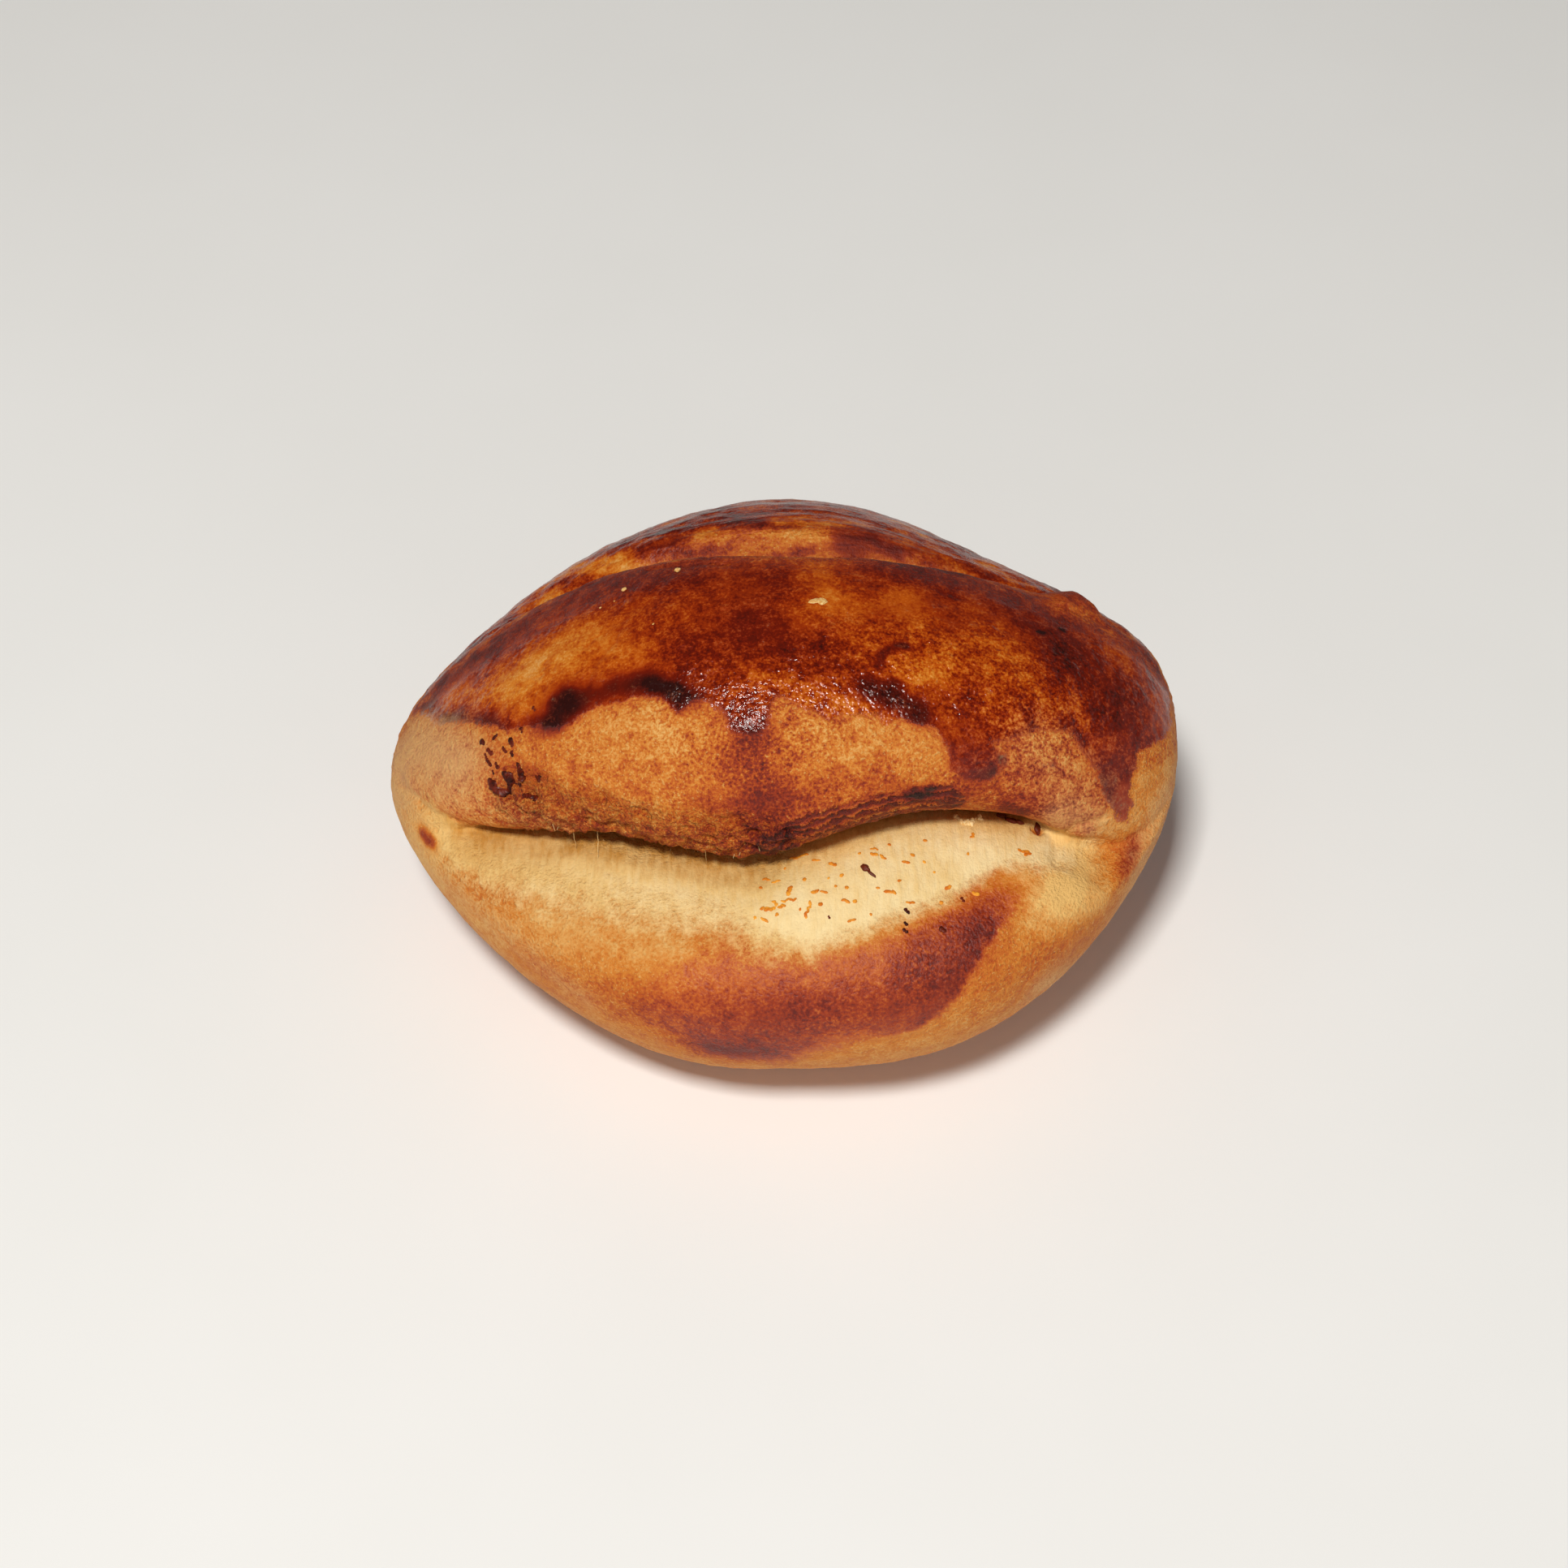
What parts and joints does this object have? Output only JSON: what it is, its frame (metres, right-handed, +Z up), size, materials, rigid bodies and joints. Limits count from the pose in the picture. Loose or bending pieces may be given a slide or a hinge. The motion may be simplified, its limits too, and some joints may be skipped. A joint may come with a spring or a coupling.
{
  "type": "pogaca bread roll",
  "caption": "Baked pogaca: an oval folded bread roll with a split mouth in front, a fold on top and a flat base to rest on.",
  "frame": {"origin": "middle of the roll's bounding box, at the flat base it rests on", "axes": "+X along the roll from its left tip to its right one, seen from the mouth; -Y is the side with the split mouth; +Z up"},
  "size_m": [0.11, 0.0856, 0.0576],
  "materials": {
    "crust": "baked crust, golden brown, with a glossy dark red-brown egg wash on top",
    "crumb": "soft pale torn bread inside"
  },
  "bodies": {
    "root": {"pogaca": "crust"}
  },
  "joints": []
}
